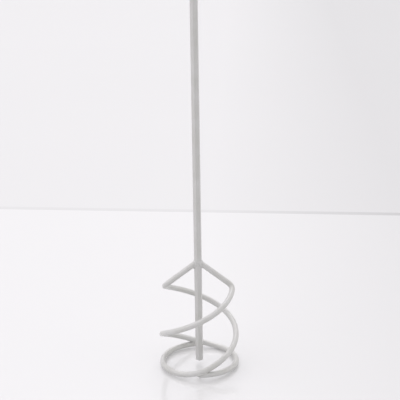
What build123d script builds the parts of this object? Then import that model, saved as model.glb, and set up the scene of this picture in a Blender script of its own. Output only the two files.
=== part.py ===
from build123d import *
import os
from math import atan, cos, radians, sin

# Mortar mixing paddle: a hexagonal bar with two identical bent rods welded to it, half a turn apart.
# Each rod is an arm, a falling coil, and half of the ring that the paddle stands on.
# Origin on the floor on the bar's axis, +Z up the bar, rod a's arm towards -X. Millimetres.
# A place along a rod is its turn: the degrees it has gone clockwise, from above, since its arm.

# Driving dimensions
overall_height = 600
hex_across_flats = 10
hex_rotation = 21         # from +X to the nearest corner of the hexagon, degrees
end_chamfer = 0.8
shaft_clearance = 5       # the bar ends this far above the floor
rod_diameter = 8
arm_slope = 0.77          # fall of the arm per unit of reach
arm_root_height = 158     # where the arm's centre line meets the bar's axis
bend_reach = 49.5         # from the axis to the corner of the bend
bend_radius = 8
coil_slope = 0.46         # fall of the coil per unit of run
coil_radius = 49          # centre line just after the bend
ring_radius = 53.5        # centre line of the ring
widening_turn = 150       # the coil has grown to the ring's radius here
ease_turn = 248           # from here the coil's fall eases off
flat_turn = 306           # and from here the rod lies flat
lift_turn = 372           # until the tail starts to rise towards the other rod
end_turn = 449            # the rod's free end
end_lift = 1.6            # how far the free end stands off the floor
coil_corners = 18         # corners of the coil's centre line, each rounded to the coil's own radius
arc_share = 0.9           # share of each run between two corners that its arcs take up
arm_weld_width = 13.2     # across the bar, where the two collars meet
arm_weld_height = 17
arm_weld_reach = 9        # from the axis to the collar's toe on the arm
weld_toe = 0.1            # thickness of the collar's thin edge
ring_weld_radius = 5
ring_weld_lead = 1.5      # degrees past the rod's free end

rod_radius = rod_diameter / 2
hex_corner_radius = hex_across_flats / 2 / cos(radians(30))
corner_step = end_turn / (coil_corners + 0.5)
arm_angle = atan(arm_slope)


def centre_radius(turn):
    """Distance from the axis to the rod's centre line."""
    share = min(turn / widening_turn, 1)
    return coil_radius + (ring_radius - coil_radius) * share * share * (3 - 2 * share)


def centre_height(turn):
    """Height of the rod's centre line: an even slope, the flat ring, and the tail's slight rise."""
    share = min(max((turn - lift_turn) / (end_turn - lift_turn), 0), 1)
    height = rod_radius + end_lift * share * share * (3 - 2 * share)
    samples = 200
    step = max(flat_turn - turn, 0) / samples
    for sample in range(samples):
        at = turn + (sample + 0.5) * step
        ease = min((flat_turn - at) / (flat_turn - ease_turn), 1)
        height += coil_slope * ease * centre_radius(at) * radians(step)
    return height


def coil_point(turn, reach):
    """Point of the rod's centre line at this turn, or a corner outside it."""
    azimuth = radians(180 - turn)
    return (reach * cos(azimuth), reach * sin(azimuth), centre_height(turn))


# Centre line of rod a: the arm, the bend, then the corners of the coil
corner_spread = 1 / cos(radians(corner_step / 2))
centre_line = [(0, 0, arm_root_height)]
centre_line.append((-bend_reach, 0, arm_root_height - arm_slope * bend_reach))
corner_radii = [bend_radius]
for corner in range(1, coil_corners + 1):
    corner_turn = corner * corner_step
    centre_line.append(coil_point(corner_turn, centre_radius(corner_turn) * corner_spread))
    corner_radii.append(arc_share * centre_radius(corner_turn))
centre_line.append(coil_point(end_turn, ring_radius))

os.makedirs("parts", exist_ok=True)

# Shaft: hexagonal bar, both ends chamfered
with BuildPart() as shaft:
    with BuildSketch(Plane.XY.offset(shaft_clearance)):
        RegularPolygon(radius=hex_corner_radius, side_count=6, rotation=hex_rotation)
    extrude(amount=overall_height - shaft_clearance)
    chamfer(shaft.faces().filter_by(Axis.Z).edges(), end_chamfer)
shaft.part.label = "shaft"
export_step(shaft.part, "parts/shaft.step")

# A whole rod, before its ends are fitted to the bar and to the other rod
with BuildPart() as whole_rod:
    with BuildLine() as rod_line:
        FilletPolyline(*centre_line, radius=corner_radii)
    with BuildSketch(Plane(rod_line.line @ 0, z_dir=rod_line.line % 0)):
        Circle(rod_radius)
    sweep(path=rod_line.line)

# The stretch of the other rod that crosses over this rod's free end, behind the bar
with BuildPart() as crossing_rod:
    add(whole_rod.part.rotate(Axis.Z, 180))
    split(bisect_by=Plane.XZ, keep=Keep.BOTTOM)

# Spiral rod a: its arm is cut to the bar's flats, its free end is saddle cut to fit under rod b
with BuildPart() as spiral_rod_a:
    add(whole_rod.part)
    add(shaft.part, mode=Mode.SUBTRACT)
    add(crossing_rod.part, mode=Mode.SUBTRACT)

# Weld between rod a's arm and the bar: a tapered collar that wraps half of the bar
with BuildPart() as arm_weld_a:
    with BuildSketch(Plane.YZ) as collar_root:
        with Locations((0, arm_root_height)):
            Ellipse(arm_weld_width / 2, arm_weld_height / 2)
    with BuildSketch(Plane.YZ.offset(-arm_weld_reach)) as collar_toe:
        with Locations((0, arm_root_height - arm_slope * arm_weld_reach)):
            Ellipse(rod_radius + weld_toe, rod_radius / cos(arm_angle) + weld_toe)
    loft()
    add(shaft.part, mode=Mode.SUBTRACT)
    add(whole_rod.part, mode=Mode.SUBTRACT)

# Weld that closes the wedge between rod a's free end and the underside of rod b
with BuildPart() as ring_weld_a:
    with Locations(coil_point(end_turn + ring_weld_lead, ring_radius)):
        Sphere(ring_weld_radius)
    add(spiral_rod_a.part, mode=Mode.SUBTRACT)
    add(crossing_rod.part, mode=Mode.SUBTRACT)

# Everything but the shaft comes in pairs, half a turn apart
for name, first in (("spiral_rod", spiral_rod_a), ("arm_weld", arm_weld_a), ("ring_weld", ring_weld_a)):
    with BuildPart() as second:
        add(first.part.rotate(Axis.Z, 180))
    first.part.label = name + "_a"
    second.part.label = name + "_b"
    export_step(first.part, "parts/" + name + "_a.step")
    export_step(second.part, "parts/" + name + "_b.step")
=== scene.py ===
"""Mortar mixing paddle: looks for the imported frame. Metres, in the same frame as the CAD."""
import math
import random

import bpy
from mathutils import Matrix, Vector, noise


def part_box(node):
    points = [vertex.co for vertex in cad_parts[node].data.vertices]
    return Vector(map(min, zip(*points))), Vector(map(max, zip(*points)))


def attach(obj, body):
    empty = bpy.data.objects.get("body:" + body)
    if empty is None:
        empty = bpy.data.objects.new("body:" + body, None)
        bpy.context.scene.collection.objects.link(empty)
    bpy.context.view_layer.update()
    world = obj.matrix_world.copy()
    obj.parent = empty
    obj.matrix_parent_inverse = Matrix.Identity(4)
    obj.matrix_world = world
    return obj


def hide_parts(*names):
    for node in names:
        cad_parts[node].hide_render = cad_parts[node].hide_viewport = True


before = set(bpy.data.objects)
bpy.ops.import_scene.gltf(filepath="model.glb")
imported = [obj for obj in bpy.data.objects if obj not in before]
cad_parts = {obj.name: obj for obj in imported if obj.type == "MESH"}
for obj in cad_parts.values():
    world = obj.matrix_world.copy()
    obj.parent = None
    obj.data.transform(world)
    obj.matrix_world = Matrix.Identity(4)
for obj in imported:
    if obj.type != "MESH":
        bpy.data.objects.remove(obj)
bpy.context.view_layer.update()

MM = 0.001

# ---- sizes, the same as the CAD's ----
# A place along a rod is its turn: the degrees it has gone clockwise, from above, since its arm
shaft_low, shaft_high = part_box("shaft")
BAR_FLATS = 10 * MM
BAR_TURN = math.radians(21)     # from +X to the nearest corner of the hexagon
BAR_CHAMFER = 0.8 * MM
ROD_RADIUS = 4 * MM
ARM_SLOPE = 0.77                # fall per unit of reach
ARM_ROOT = 158 * MM             # where an arm's centre line meets the bar's axis
BEND_REACH = 49.5 * MM          # from the axis to the corner of the bend
BEND_RADIUS = 8 * MM
COIL_SLOPE = 0.46               # fall per unit of run
COIL_RADIUS = 49 * MM           # centre line just after the bend
RING_RADIUS = 53.5 * MM         # centre line of the ring
WIDENING_TURN = 150             # the coil has grown to the ring's radius here
EASE_TURN = 248                 # from here the coil's fall eases off
FLAT_TURN = 306                 # and from here the rod lies flat
LIFT_TURN = 372                 # until the tail starts to rise towards the other rod
END_TURN = 449                  # the rod's free end
END_LIFT = 1.6 * MM             # how far the free end stands off the floor
HALF_TURN = Matrix.Rotation(math.pi, 4, "Z")


# ---- the rods' route ----
def smooth_step(share):
    """Eases from 0 to 1 as the share does, and stays there on either side."""
    share = min(max(share, 0), 1)
    return share * share * (3 - 2 * share)


def centre_radius(turn):
    """Distance from the axis to the rod's centre line."""
    return COIL_RADIUS + (RING_RADIUS - COIL_RADIUS) * smooth_step(turn / WIDENING_TURN)


def coil_slope(turn):
    """Fall of the coil per unit of run: even at first, then easing off into the flat ring."""
    ease = min(max((FLAT_TURN - turn) / (FLAT_TURN - EASE_TURN), 0), 1)
    return COIL_SLOPE * ease


def coil_heights():
    """Heights of the rod's centre line at every whole degree, from the arm to the ring."""
    heights = [ROD_RADIUS]
    for turn in range(FLAT_TURN, 0, -1):
        middle = turn - 0.5
        fall = coil_slope(middle) * centre_radius(middle) * math.radians(1)
        heights.append(heights[-1] + fall)
    return heights[::-1]


HEIGHTS = coil_heights()


def centre_height(turn):
    """Height of the rod's centre line."""
    if turn >= FLAT_TURN:
        lift = smooth_step((turn - LIFT_TURN) / (END_TURN - LIFT_TURN))
        return ROD_RADIUS + END_LIFT * lift
    whole = int(turn)
    share = turn - whole
    return HEIGHTS[whole] * (1 - share) + HEIGHTS[whole + 1] * share


def coil_point(turn, reach=None):
    """Point of rod a's centre line, or one beside it at this distance from the axis."""
    azimuth = math.radians(180 - turn)
    reach = reach or centre_radius(turn)
    return Vector((reach * math.cos(azimuth), reach * math.sin(azimuth), centre_height(turn)))


def arm_point(reach):
    """Point of rod a's arm at this distance from the axis."""
    return Vector((-reach, 0, ARM_ROOT - ARM_SLOPE * reach))


def fillet(before, corner, after, radius, count):
    """Points of the arc that rounds a corner."""
    back = (before - corner).normalized()
    ahead = (after - corner).normalized()
    half = back.angle(ahead) / 2
    centre = corner + (back + ahead).normalized() * radius / math.sin(half)
    first = corner + back * radius / math.tan(half) - centre
    last = corner + ahead * radius / math.tan(half) - centre
    sweep = first.angle(last)
    points = []
    for i in range(count + 1):
        t = i / count
        mix = first * math.sin((1 - t) * sweep) + last * math.sin(t * sweep)
        points.append(centre + mix / math.sin(sweep))
    return points


def resample(points, step):
    """Points evenly spaced along a polyline."""
    lengths = [0]
    for a, b in zip(points, points[1:]):
        lengths.append(lengths[-1] + (b - a).length)
    count = round(lengths[-1] / step)
    out = []
    k = 0
    for i in range(count + 1):
        at = lengths[-1] * i / count
        while k < len(points) - 2 and lengths[k + 1] < at:
            k += 1
        share = (at - lengths[k]) / (lengths[k + 1] - lengths[k])
        out.append(points[k].lerp(points[k + 1], share))
    return out


def smooth(points, passes):
    """Rounds small kinks off a line of evenly spaced points."""
    for _ in range(passes):
        inner = [(a + 2 * b + c) / 4 for a, b, c in zip(points, points[1:], points[2:])]
        points = [points[0]] + inner + [points[-1]]
    return points


ROUTE_START = 1 * MM            # from the axis, inside the bar
ROUTE_STEP = 1.25 * MM
ROUTE_SMOOTHING = 8
BEND_POINTS = 12
BEND_OUT_TURN = 12              # the coil's curve starts here, past the bend


def rod_route():
    """Centre line of rod a, from inside the bar to its free end on the ring."""
    corner = arm_point(BEND_REACH)
    coil = [coil_point(turn) for turn in range(BEND_OUT_TURN, END_TURN + 1)]
    bend = fillet(arm_point(0), corner, coil[0], BEND_RADIUS, BEND_POINTS)
    return smooth(resample([arm_point(ROUTE_START)] + bend + coil, ROUTE_STEP), ROUTE_SMOOTHING)


# ---- mesh tools ----
def mesh_object(name, points, faces, normals=None):
    """A smooth-shaded object from points and faces, with its own normals if they are given."""
    mesh = bpy.data.meshes.new(name)
    mesh.from_pydata([tuple(p) for p in points], [], faces)
    mesh.validate()
    mesh.shade_smooth()
    if normals:
        mesh.normals_split_custom_set_from_vertices([tuple(n) for n in normals])
    made = bpy.data.objects.new(name, mesh)
    bpy.context.scene.collection.objects.link(made)
    return made


def directions_across(route):
    """A pair of directions across the line at each of its points, turning as little as they can."""
    tangents = []
    for i in range(len(route)):
        tangents.append((route[min(i + 1, len(route) - 1)] - route[max(i - 1, 0)]).normalized())
    side = tangents[0].orthogonal().normalized()
    out = []
    for i, tangent in enumerate(tangents):
        if i:
            side.rotate(tangents[i - 1].rotation_difference(tangent))
        side = (side - tangent * side.dot(tangent)).normalized()
        out.append((side.copy(), tangent.cross(side)))
    return out


def tube_faces(rings, sides):
    """Faces of a closed tube: quads that join its rings of points, then a cap on each end."""
    faces = []
    for i in range(rings - 1):
        near, far = i * sides, (i + 1) * sides
        for k in range(sides):
            m = (k + 1) % sides
            faces.append((near + k, near + m, far + m, far + k))
    last = (rings - 1) * sides
    faces.append(tuple(range(sides))[::-1])
    faces.append(tuple(range(last, last + sides)))
    return faces


def tube(route, radii, sides):
    """Points and faces of a closed round tube."""
    points = []
    for centre, (u, v), radius in zip(route, directions_across(route), radii):
        for k in range(sides):
            angle = 2 * math.pi * k / sides
            points.append(
                centre + u * (radius * math.cos(angle)) + v * (radius * math.sin(angle)))
    return points, tube_faces(len(route), sides)


# ---- materials ----
def add_node(tree, kind, sockets, **settings):
    """Adds a node, with its inputs linked or given values, and gives its first enabled output."""
    node = tree.nodes.new(kind)
    for name, value in settings.items():
        setattr(node, name, value)
    for name, value in sockets.items():
        socket = next(s for s in node.inputs if s.name == name and s.enabled)
        if isinstance(value, bpy.types.NodeSocket):
            tree.links.new(value, socket)
        else:
            socket.default_value = value
    return next(s for s in node.outputs if s.enabled)


class Surface:
    """A material whose patterns lie in the object's own space."""

    def __init__(self, name, seed):
        self.material = bpy.data.materials.new(name)
        self.material.use_nodes = True
        self.tree = self.material.node_tree
        self.shader = self.tree.nodes["Principled BSDF"]
        self.seed = seed
        place = self.tree.nodes.new("ShaderNodeTexCoord")
        self.place = place.outputs["Object"]

    def noise(self, size, detail=2.0, roughness=0.5):
        """Cloudy noise whose lumps are about this size."""
        self.seed += 1
        sockets = {
            "Vector": self.place, "W": self.seed, "Scale": 1 / size,
            "Detail": detail, "Roughness": roughness,
        }
        return add_node(self.tree, "ShaderNodeTexNoise", sockets, noise_dimensions="4D")

    def remap(self, value, low, high, to_low, to_high):
        """Brings a value from one range to another, and holds it inside the second."""
        sockets = {
            "Value": value, "From Min": low, "From Max": high,
            "To Min": to_low, "To Max": to_high,
        }
        return add_node(self.tree, "ShaderNodeMapRange", sockets)

    def mix(self, factor, a, b, blend="MIX"):
        """Colour a where the factor is 0, and b, or the two blended, where it is 1."""
        sockets = {"Factor": factor, "A": a, "B": b}
        return add_node(
            self.tree, "ShaderNodeMix", sockets, data_type="RGBA", blend_type=blend)

    def bump(self, height, depth, below=None):
        """A bump this deep, on top of another."""
        sockets = {"Height": height, "Distance": depth}
        if below:
            sockets["Normal"] = below
        return add_node(self.tree, "ShaderNodeBump", sockets)

    def set(self, **inputs):
        """Links or sets the shader's inputs. An underscore in a name stands for a space."""
        for name, value in inputs.items():
            socket = self.shader.inputs[name.replace("_", " ")]
            if isinstance(value, bpy.types.NodeSocket):
                self.tree.links.new(value, socket)
            else:
                socket.default_value = value


def grey(level, warmth=0.0):
    """A linear colour, a little yellower as warmth rises."""
    return (level * (1 + warmth / 2), level * (1 + warmth / 2), level * (1 - warmth), 1)


CLOUD_SIZE = 22 * MM            # thicker and thinner paint
FLAKE_SIZE = 0.22 * MM
FLAKE_DEPTH = 0.006 * MM
FLAKE_SHADE = grey(0.9)         # how dark it gets between the flakes
DUST_SIZE = 1.1 * MM
DUST_DEPTH = 0.05 * MM
DUST_RANGE = (0.74, 0.8)        # only the noise's highest peaks are dust
DUST_COVER = 0.35
PEEL_SIZE = 1.5 * MM


def paint(name, level, roughness, peel_depth, seed):
    """Silver-grey paint: cloudy thickness, fine flake, orange peel, and a few nibs of dust."""
    coat = Surface(name, seed)
    clouds = coat.remap(coat.noise(CLOUD_SIZE, 3), 0.35, 0.65, 0, 1)
    flake = coat.noise(FLAKE_SIZE, 1)
    dust = coat.remap(coat.noise(DUST_SIZE, 1, 0.4), *DUST_RANGE, 0, 1)
    tone = coat.mix(clouds, grey(level * 0.94, 0.03), grey(level * 1.04, 0.012))
    glitter = coat.remap(flake, 0.3, 0.7, 0, 1)
    tone = coat.mix(glitter, coat.mix(1.0, tone, FLAKE_SHADE, "MULTIPLY"), tone)
    tone = coat.mix(coat.remap(dust, 0, 1, 0, DUST_COVER), tone, grey(level * 0.55, 0.03))
    normal = coat.bump(coat.noise(PEEL_SIZE, 2), peel_depth)
    normal = coat.bump(flake, FLAKE_DEPTH, normal)
    normal = coat.bump(dust, DUST_DEPTH, normal)
    coat.set(
        Base_Color=tone,
        Roughness=coat.remap(clouds, 0, 1, roughness - 0.04, roughness + 0.05),
        Normal=normal,
        Metallic=0.05,
        Coat_Weight=0.6,
        Coat_Roughness=0.25,
    )
    return coat.material


STUDIO_WHITE = (0.99, 0.975, 1.0, 1)
SHEET_CLOUD_SIZE = 180 * MM
FADE = (0.0, 0.38)              # the floor's painted light fades off to the right between these places, standing in for the key light's falloff


def studio_surface(name, level, glow, faded_glow, seed):
    """Glossy pale sheet for the floor. Its glow is painted light: an emission that fills in the
    shade under the paddle and fades to the right.
    """
    sheet = Surface(name, seed)
    clouds = sheet.noise(SHEET_CLOUD_SIZE, 2)
    to_right = add_node(sheet.tree, "ShaderNodeSeparateXYZ", {"Vector": sheet.place})
    sheet.set(
        Base_Color=sheet.mix(clouds, grey(level * 0.99), grey(level)),
        Roughness=0.15,
        IOR=3.6,
        Emission_Color=STUDIO_WHITE,
        # Painted light: the floor's emission is brighter at the left and fades off to the right
        Emission_Strength=sheet.remap(to_right, *FADE, glow, faded_glow),
    )
    return sheet.material


def dress(piece, material, node):
    """Gives a piece its paint and its body, and hides the CAD node that it stands for."""
    piece.data.materials.append(material)
    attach(piece, "root")
    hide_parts(node)


# ---- the bar ----
BAR_EDGE = 0.45 * MM            # rounding of its long edges
BAR_CORNER_STEPS = 5
BAR_RINGS = 120
LIP = 0.15 * MM                 # rounding of the chamfers' edges


def hexagon(flats):
    """Points and outward normals round a hexagon with rounded corners."""
    reach = (flats / 2 - BAR_EDGE) / math.cos(math.radians(30))
    out = []
    for corner in range(6):
        middle = BAR_TURN + math.radians(60 * corner)
        centre = Vector((math.cos(middle), math.sin(middle), 0)) * reach
        for i in range(BAR_CORNER_STEPS):
            angle = middle + math.radians(60 * i / (BAR_CORNER_STEPS - 1) - 30)
            normal = Vector((math.cos(angle), math.sin(angle), 0))
            out.append((centre + normal * BAR_EDGE, normal))
    return out


def bar_profile():
    """Rings up the bar: height, how far the outline is drawn in, and the normal's tilt upwards."""
    foot = [
        (0, BAR_CHAMFER + LIP, -90), (LIP, BAR_CHAMFER - LIP, -45),
        (BAR_CHAMFER - LIP, LIP, -45), (BAR_CHAMFER + LIP, 0, 0),
    ]
    low, high = shaft_low.z, shaft_high.z
    start, end = low + BAR_CHAMFER + LIP, high - BAR_CHAMFER - LIP
    rings = [(low + up, draw, tilt) for up, draw, tilt in foot]
    rings += [(start + (end - start) * i / BAR_RINGS, 0, 0) for i in range(1, BAR_RINGS)]
    return rings + [(high - up, draw, -tilt) for up, draw, tilt in foot[::-1]]


def build_bar():
    """The hexagonal bar with rounded corners and chamfered ends."""
    points, normals = [], []
    rings = bar_profile()
    for z, draw, tilt in rings:
        for point, normal in hexagon(BAR_FLATS - 2 * draw):
            tilted = normal * math.cos(math.radians(tilt))
            tilted.z = math.sin(math.radians(tilt))
            points.append(point + Vector((0, 0, z)))
            normals.append(tilted)
    return mesh_object("hex_bar", points, tube_faces(len(rings), 6 * BAR_CORNER_STEPS), normals)


# ---- the rods ----
ROD_SIDES = 36
ROD_UNEVEN = 0.03 * MM          # how far its radius falls short at most
UNEVEN_LENGTH = 14 * MM
END_ROUNDING = 0.7 * MM
TAIL = 70 * MM                  # the stretch of the free end that the other rod may press on


def saddle(point):
    """Lowers a point of rod a's free end to the underside of rod b, where it stood above that."""
    turn = -math.degrees(math.atan2(point.y, point.x)) % 360      # along rod b
    aside = math.hypot(point.x, point.y) - centre_radius(turn)
    if abs(aside) < ROD_RADIUS:
        drop = math.sqrt(ROD_RADIUS ** 2 - aside ** 2) * math.hypot(1, coil_slope(turn))
        point.z = min(point.z, centre_height(turn) - drop)
    return point


def build_rod(name, seed):
    """Rod a: its arm, bend, coil and half of the ring, in one bent piece."""
    route = rod_route()
    last = len(route) - 1
    radii = []
    for i, centre in enumerate(route):
        waviness = noise.noise(centre / UNEVEN_LENGTH + Vector((seed, 0, 0)))
        uneven = ROD_UNEVEN * (1 + waviness) / 2
        to_end = (last - i) * ROUTE_STEP
        radii.append(ROD_RADIUS - uneven - max(END_ROUNDING - to_end, 0))
    points, faces = tube(route, radii, ROD_SIDES)
    tail = int(TAIL / ROUTE_STEP) * ROD_SIDES
    points = points[:-tail] + [saddle(point) for point in points[-tail:]]
    for point in points:
        point.z = max(point.z, 0)
    return mesh_object(name, points, faces)


# ---- the welds ----
BEAD_SIDES = 20
BEAD_WOBBLE = 0.08              # share of the bead's thickness
WOBBLE_LENGTH = 2.5 * MM
RIPPLE_PITCH = 1.35 * MM
RIPPLE_DEPTH = 0.09             # share of the bead's thickness
RIPPLE_CURL = 1.4               # how far a ripple's middle runs ahead of its ends, in radians
DROP_RINGS = 13
SKIN_VOXEL = 0.2 * MM
SKIN_SMOOTHING = 2
SPATTER_COUNT = 4
SPATTER_SIZES = (0.3 * MM, 0.55 * MM)
SPATTER_FLATNESS = 0.8
SPATTER_REACH = (11 * MM, 18 * MM)      # from the axis, along the arm

ARM_FALL = Vector((-1, 0, -ARM_SLOPE)).normalized()
ARM_TOP = Vector((-ARM_SLOPE, 0, 1)).normalized()
ARM_SIDE = Vector((0, 1, 0))


def bead(centres, axes, halves, seed):
    """A rippled closed shell: at each centre, an ellipse with these two half axes."""
    points = []
    along = 0
    for i, centre in enumerate(centres):
        along += (centre - centres[i - 1]).length if i else 0
        (u, v), (a, b) = axes[i], halves[i]
        wobble = 1 + BEAD_WOBBLE * noise.noise(centre / WOBBLE_LENGTH + Vector((seed, 0, 0)))
        for k in range(BEAD_SIDES):
            angle = 2 * math.pi * k / BEAD_SIDES
            phase = math.pi * along / RIPPLE_PITCH + RIPPLE_CURL * math.cos(angle) / 2
            swell = wobble * (1 - RIPPLE_DEPTH * (1 - abs(math.sin(phase))))
            spoke = u * (a * math.cos(angle)) + v * (b * math.sin(angle))
            points.append(centre + spoke * swell)
    return points, tube_faces(len(centres), BEAD_SIDES)


def drop(centre, halves):
    """A closed ellipsoid shell, for a puddle of weld or a ball of spatter."""
    points = []
    for i in range(DROP_RINGS):
        polar = math.pi * (i + 0.5) / DROP_RINGS
        for k in range(BEAD_SIDES):
            angle = 2 * math.pi * k / BEAD_SIDES
            unit = (
                math.sin(polar) * math.cos(angle), math.sin(polar) * math.sin(angle),
                math.cos(polar),
            )
            points.append(centre + Vector([h * x for h, x in zip(halves, unit)]))
    return points, tube_faces(DROP_RINGS, BEAD_SIDES)


def joined(shells):
    """The points and faces of several shells in one list each."""
    points, faces = [], []
    for shell_points, shell_faces in shells:
        first = len(points)
        points += shell_points
        faces += [tuple(first + i for i in face) for face in shell_faces]
    return points, faces


def skin(name, shells, loose=()):
    """One closed skin round closed shells that overlap, with small loose shells beside it."""
    piece = mesh_object(name, *joined(shells))
    remesh = piece.modifiers.new("skin", "REMESH")
    remesh.mode = "VOXEL"
    remesh.voxel_size = SKIN_VOXEL
    soften = piece.modifiers.new("soften", "SMOOTH")
    soften.iterations = SKIN_SMOOTHING
    bpy.context.view_layer.update()
    seen = piece.evaluated_get(bpy.context.evaluated_depsgraph_get())
    fused = bpy.data.meshes.new_from_object(seen)
    bpy.data.objects.remove(piece)
    points = [Vector((v.co.x, v.co.y, max(v.co.z, 0))) for v in fused.vertices]
    faces = [tuple(face.vertices) for face in fused.polygons]
    bpy.data.meshes.remove(fused)
    return mesh_object(name, *joined([(points, faces), *loose]))


def out_of_arm(around):
    """Direction out from rod a's arm, at this angle round it from its top."""
    return ARM_SIDE * math.sin(around) + ARM_TOP * math.cos(around)


def leave_bar(start):
    """How far a line along the arm runs from this start to the bar's surface."""
    runs = []
    for side in range(6):
        facing = BAR_TURN + math.radians(30 + 60 * side)
        normal = Vector((math.cos(facing), math.sin(facing), 0))
        rate = normal.dot(ARM_FALL)
        if rate > 0.01:
            runs.append((BAR_FLATS / 2 - normal.dot(start)) / rate)
    return min(runs)


def arm_crease(count):
    """Closed line where rod a's arm meets the bar, with the directions out from the arm."""
    line, outward = [], []
    for i in range(count + 1):
        out = out_of_arm(2 * math.pi * i / count)
        start = Vector((0, 0, ARM_ROOT)) + out * ROD_RADIUS
        line.append(start + ARM_FALL * leave_bar(start))
        outward.append(out)
    return line, outward


def spatter(draw):
    """Small balls stuck to rod a's arm beside its weld."""
    shells = []
    for _ in range(SPATTER_COUNT):
        size = draw.uniform(*SPATTER_SIZES)
        out = out_of_arm(draw.uniform(0, 2 * math.pi))
        reach = draw.uniform(*SPATTER_REACH)
        place = Vector((0, 0, ARM_ROOT)) + ARM_FALL * reach + out * ROD_RADIUS
        shells.append(drop(place, (size, size, size * SPATTER_FLATNESS)))
    return shells


# An arm bead over the arm, beside it and under it: its half thickness out from the arm, its half
# width along the arm, and how far its centre lies out and along from the crease
BEAD_A = (
    Vector((1.2, 2.1, -0.25, 0.2)) * MM,
    Vector((1.5, 2.9, 0.1, -0.7)) * MM,
    Vector((1.6, 2.2, 0.1, 0.6)) * MM,
)
BEAD_B = (
    Vector((1.1, 1.7, -0.45, 0.2)) * MM,
    Vector((1.5, 2.7, 0.1, -0.8)) * MM,
    Vector((1.4, 1.9, 0.0, 0.4)) * MM,
)
ARM_BEAD_POINTS = 240


def build_arm_weld(name, shape, seed):
    """A rippled bead all round rod a's arm where it meets the bar."""
    over, side, under = shape
    centres, axes, halves = [], [], []
    for point, out in zip(*arm_crease(ARM_BEAD_POINTS)):
        beside = out.dot(ARM_SIDE) ** 2
        end = over if out.dot(ARM_TOP) > 0 else under
        thick, wide, lift, shift = side * beside + end * (1 - beside)
        centres.append(point + out * lift + ARM_FALL * shift)
        axes.append((out, ARM_FALL))
        halves.append((thick, wide))
    return skin(name, [bead(centres, axes, halves, seed)], spatter(random.Random(seed)))


RING_BEAD = 1.5 * MM            # its half thickness
RING_BEAD_STEP = 0.3 * MM
RING_BEAD_SMOOTHING = 6
RING_BEAD_START = 435           # the wedge between the two rods closes at this turn
RING_BEAD_SPANS = 20            # along each side of the wedge
RING_BEAD_NOSE = 2.2 * MM       # how far it runs past the free end
NOSE_DROP = 1.1 * MM            # and how far down it
NOSE_SPANS = 8
BEAD_TIP = 0.35                 # share of its thickness that it starts and ends with
BEAD_TAPER = 4 * MM             # length in which it would grow from nothing to its thickness
END_BLOB = (3.3 * MM, 3.2 * MM, 2.6 * MM)       # half axes of the puddle on the cut end
END_BLOB_HEIGHT = 5 * MM
END_BLOB_TURN = 447.6


def ring_crease(turn, side):
    """Point between rod a's tail and rod b above it, on the outer side or the inner."""
    lower, upper = centre_height(turn), centre_height(turn - 180)
    apart = (upper - lower) / 2
    aside = math.sqrt(max(ROD_RADIUS ** 2 - apart ** 2, 0))
    point = coil_point(turn, RING_RADIUS + side * aside)
    point.z = lower + apart
    return point


def ring_bead_route():
    """Line of the bead: out of the wedge on the inner side, round rod a's end, and back."""
    turns = []
    for i in range(RING_BEAD_SPANS + 1):
        turns.append(RING_BEAD_START + (END_TURN - RING_BEAD_START) * i / RING_BEAD_SPANS)
    inner = [ring_crease(turn, -1) for turn in turns]
    outer = [ring_crease(turn, 1) for turn in turns[::-1]]
    ahead = (coil_point(END_TURN + 1) - coil_point(END_TURN)).normalized()
    nose = ahead * RING_BEAD_NOSE - Vector((0, 0, NOSE_DROP))
    cap = []
    for i in range(1, NOSE_SPANS):
        angle = math.pi * i / NOSE_SPANS
        across_end = inner[-1].lerp(outer[0], (1 - math.cos(angle)) / 2)
        cap.append(across_end + nose * math.sin(angle))
    return smooth(resample(inner + cap + outer, RING_BEAD_STEP), RING_BEAD_SMOOTHING)


def build_ring_weld(name, seed):
    """The bead round rod a's free end, and a puddle on the cut end."""
    route = ring_bead_route()
    last = len(route) - 1
    halves = []
    for i in range(last + 1):
        to_tip = min(i, last - i) * RING_BEAD_STEP
        half = RING_BEAD * min(1, BEAD_TIP + to_tip / BEAD_TAPER)
        halves.append((half, half))
    blob_at = coil_point(END_BLOB_TURN)
    blob_at.z = END_BLOB_HEIGHT
    weld = bead(route, directions_across(route), halves, seed)
    return skin(name, [weld, drop(blob_at, END_BLOB)])


# ---- the assembly ----
def half_turn(piece):
    """Turns a piece made on rod a's side round to rod b's side."""
    piece.data.transform(HALF_TURN)
    return piece


bar_paint = paint("bar_paint", level=0.58, roughness=0.45, peel_depth=0.02 * MM, seed=1)
rod_paint = paint("rod_paint", level=0.58, roughness=0.42, peel_depth=0.02 * MM, seed=11)
weld_paint = paint("weld_paint", level=0.57, roughness=0.45, peel_depth=0.03 * MM, seed=21)

bar = build_bar()
dress(bar, bar_paint, "shaft")

rod_a = build_rod("rod_a", 3)
rod_b = half_turn(build_rod("rod_b", 8))
dress(rod_a, rod_paint, "spiral_rod_a")
dress(rod_b, rod_paint, "spiral_rod_b")

arm_bead_a = build_arm_weld("arm_bead_a", BEAD_A, 5)
arm_bead_b = half_turn(build_arm_weld("arm_bead_b", BEAD_B, 6))
ring_bead_a = build_ring_weld("ring_bead_a", 7)
ring_bead_b = half_turn(build_ring_weld("ring_bead_b", 9))
dress(arm_bead_a, weld_paint, "arm_weld_a")
dress(arm_bead_b, weld_paint, "arm_weld_b")
dress(ring_bead_a, weld_paint, "ring_weld_a")
dress(ring_bead_b, weld_paint, "ring_weld_b")


# ---- the floor ----
FLOOR_REACH = 40
FLOOR_PIVOT = Vector((0, RING_RADIUS + ROD_RADIUS / 2, 0))      # under the ring's back
FLOOR_FALL = math.radians(0.93)         # from the pivot down to the front
BOARD_TURN = math.radians(-3.2)         # of the sheets in their own plane, about the pivot
BOARD_BACK = 0.598                      # the board ends this far behind the pivot, and paper carries on after a narrow darker strip, painted shade along the seam
PAPER_START = 0.614                     # and paper carries on after a narrow gap

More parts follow.
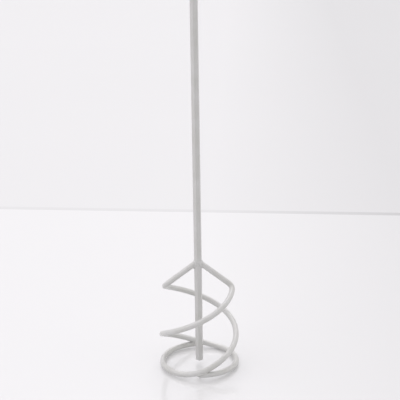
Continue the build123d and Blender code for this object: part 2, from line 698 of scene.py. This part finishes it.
# The floor touches the ring's back and falls away under its front, which stands a little proud
FLOOR_PLACE = (
    Matrix.Translation(FLOOR_PIVOT)
    @ Matrix.Rotation(FLOOR_FALL, 4, "X")
    @ Matrix.Rotation(BOARD_TURN, 4, "Z")
)


def floor_sheet(name, start, end, material):
    """A flat sheet between two distances behind the pivot."""
    corners = [(-1, start), (1, start), (1, end), (-1, end)]
    points = [FLOOR_PLACE @ Vector((side * FLOOR_REACH, y, 0)) for side, y in corners]
    sheet = mesh_object(name, points, [(0, 1, 2, 3)])
    sheet.data.materials.append(material)
    return sheet


# The glow and faded glow of each sheet are painted light: brighter at the left, fading to the right
white_board = studio_surface("white_board", level=0.587, glow=0.17, faded_glow=0.067, seed=31)
white_paper = studio_surface("white_paper", level=0.587, glow=0.128, faded_glow=0.028, seed=41)
# A darker strip between board and paper: painted shade along the seam line
painted_seam_shade = studio_surface("painted_seam_shade", level=0.45, glow=0.19, faded_glow=0.02, seed=51)
board = floor_sheet("board", -FLOOR_REACH, BOARD_BACK, white_board)
seam_shade_strip = floor_sheet("seam_shade_strip", BOARD_BACK, PAPER_START, painted_seam_shade)
paper = floor_sheet("paper", PAPER_START, FLOOR_REACH, white_paper)


# ---- the light ----
def gathered(name, things):
    """A collection that a light can be kept to."""
    group = bpy.data.collections.new(name)
    for thing in things:
        group.objects.link(thing)
    return group


PADDLE = [bar, rod_a, rod_b, arm_bead_a, arm_bead_b, ring_bead_a, ring_bead_b]
lit_paddle = gathered("lit_paddle", PADDLE)
lit_floor = gathered("lit_floor", [board, seam_shade_strip, paper])


def distant_softbox(name, azimuth, elevation, spread, strength, colour):
    """A far light: where it stands round the bar and above the floor, and how wide it looks.

    It is a pair of the same light. The glossy floor doesn't mirror its own one, so that the
    floor has no glare from any side.
    """
    side, up = math.radians(azimuth), math.radians(elevation)
    level = math.cos(up)
    towards = Vector((math.cos(side) * level, math.sin(side) * level, math.sin(up)))
    for group in (lit_paddle, lit_floor):
        data = bpy.data.lights.new(name, "SUN")
        data.energy = strength
        data.angle = math.radians(spread)
        data.color = colour
        lamp = bpy.data.objects.new(name + "_" + group.name, data)
        bpy.context.scene.collection.objects.link(lamp)
        lamp.light_linking.receiver_collection = group
        lamp.visible_glossy = group == lit_paddle
        lamp.rotation_mode = "QUATERNION"
        lamp.rotation_quaternion = towards.to_track_quat("Z", "Y")


distant_softbox("key", 195, 42, spread=70, strength=0.92, colour=(1, 0.965, 1))
distant_softbox("back", 92, 55, spread=38, strength=1.08, colour=(1, 0.975, 1))
distant_softbox("right_fill", 1, 13, spread=60, strength=0.61, colour=(1, 0.98, 0.92))

SKY_STRENGTH = 0.777
sky = bpy.data.worlds.new("studio")
sky.use_nodes = True
background = sky.node_tree.nodes["Background"]
background.inputs["Color"].default_value = STUDIO_WHITE
background.inputs["Strength"].default_value = SKY_STRENGTH
bpy.context.scene.world = sky
bpy.context.scene.view_settings.view_transform = "Standard"


# ---- the camera ----
VIEW_TURN = math.radians(2.27)                        # its heading round the bar, from +Y
CAMERA_PLACE = Vector((4.3, -1639.1, 784.5)) * MM     # before that turn
CAMERA_PITCH = math.radians(18.08)                    # below the horizon
CAMERA_ROLL = -0.0156                                 # in radians
camera_data = bpy.data.cameras.new("camera")
camera_data.sensor_width = 36
camera_data.lens = 111.02
camera = bpy.data.objects.new("camera", camera_data)
bpy.context.scene.collection.objects.link(camera)
camera.matrix_world = (
    Matrix.Rotation(VIEW_TURN, 4, "Z")
    @ Matrix.Translation(CAMERA_PLACE)
    @ Matrix.Rotation(math.radians(90) - CAMERA_PITCH, 4, "X")
    @ Matrix.Rotation(CAMERA_ROLL, 4, "Z")
)
bpy.context.scene.camera = camera
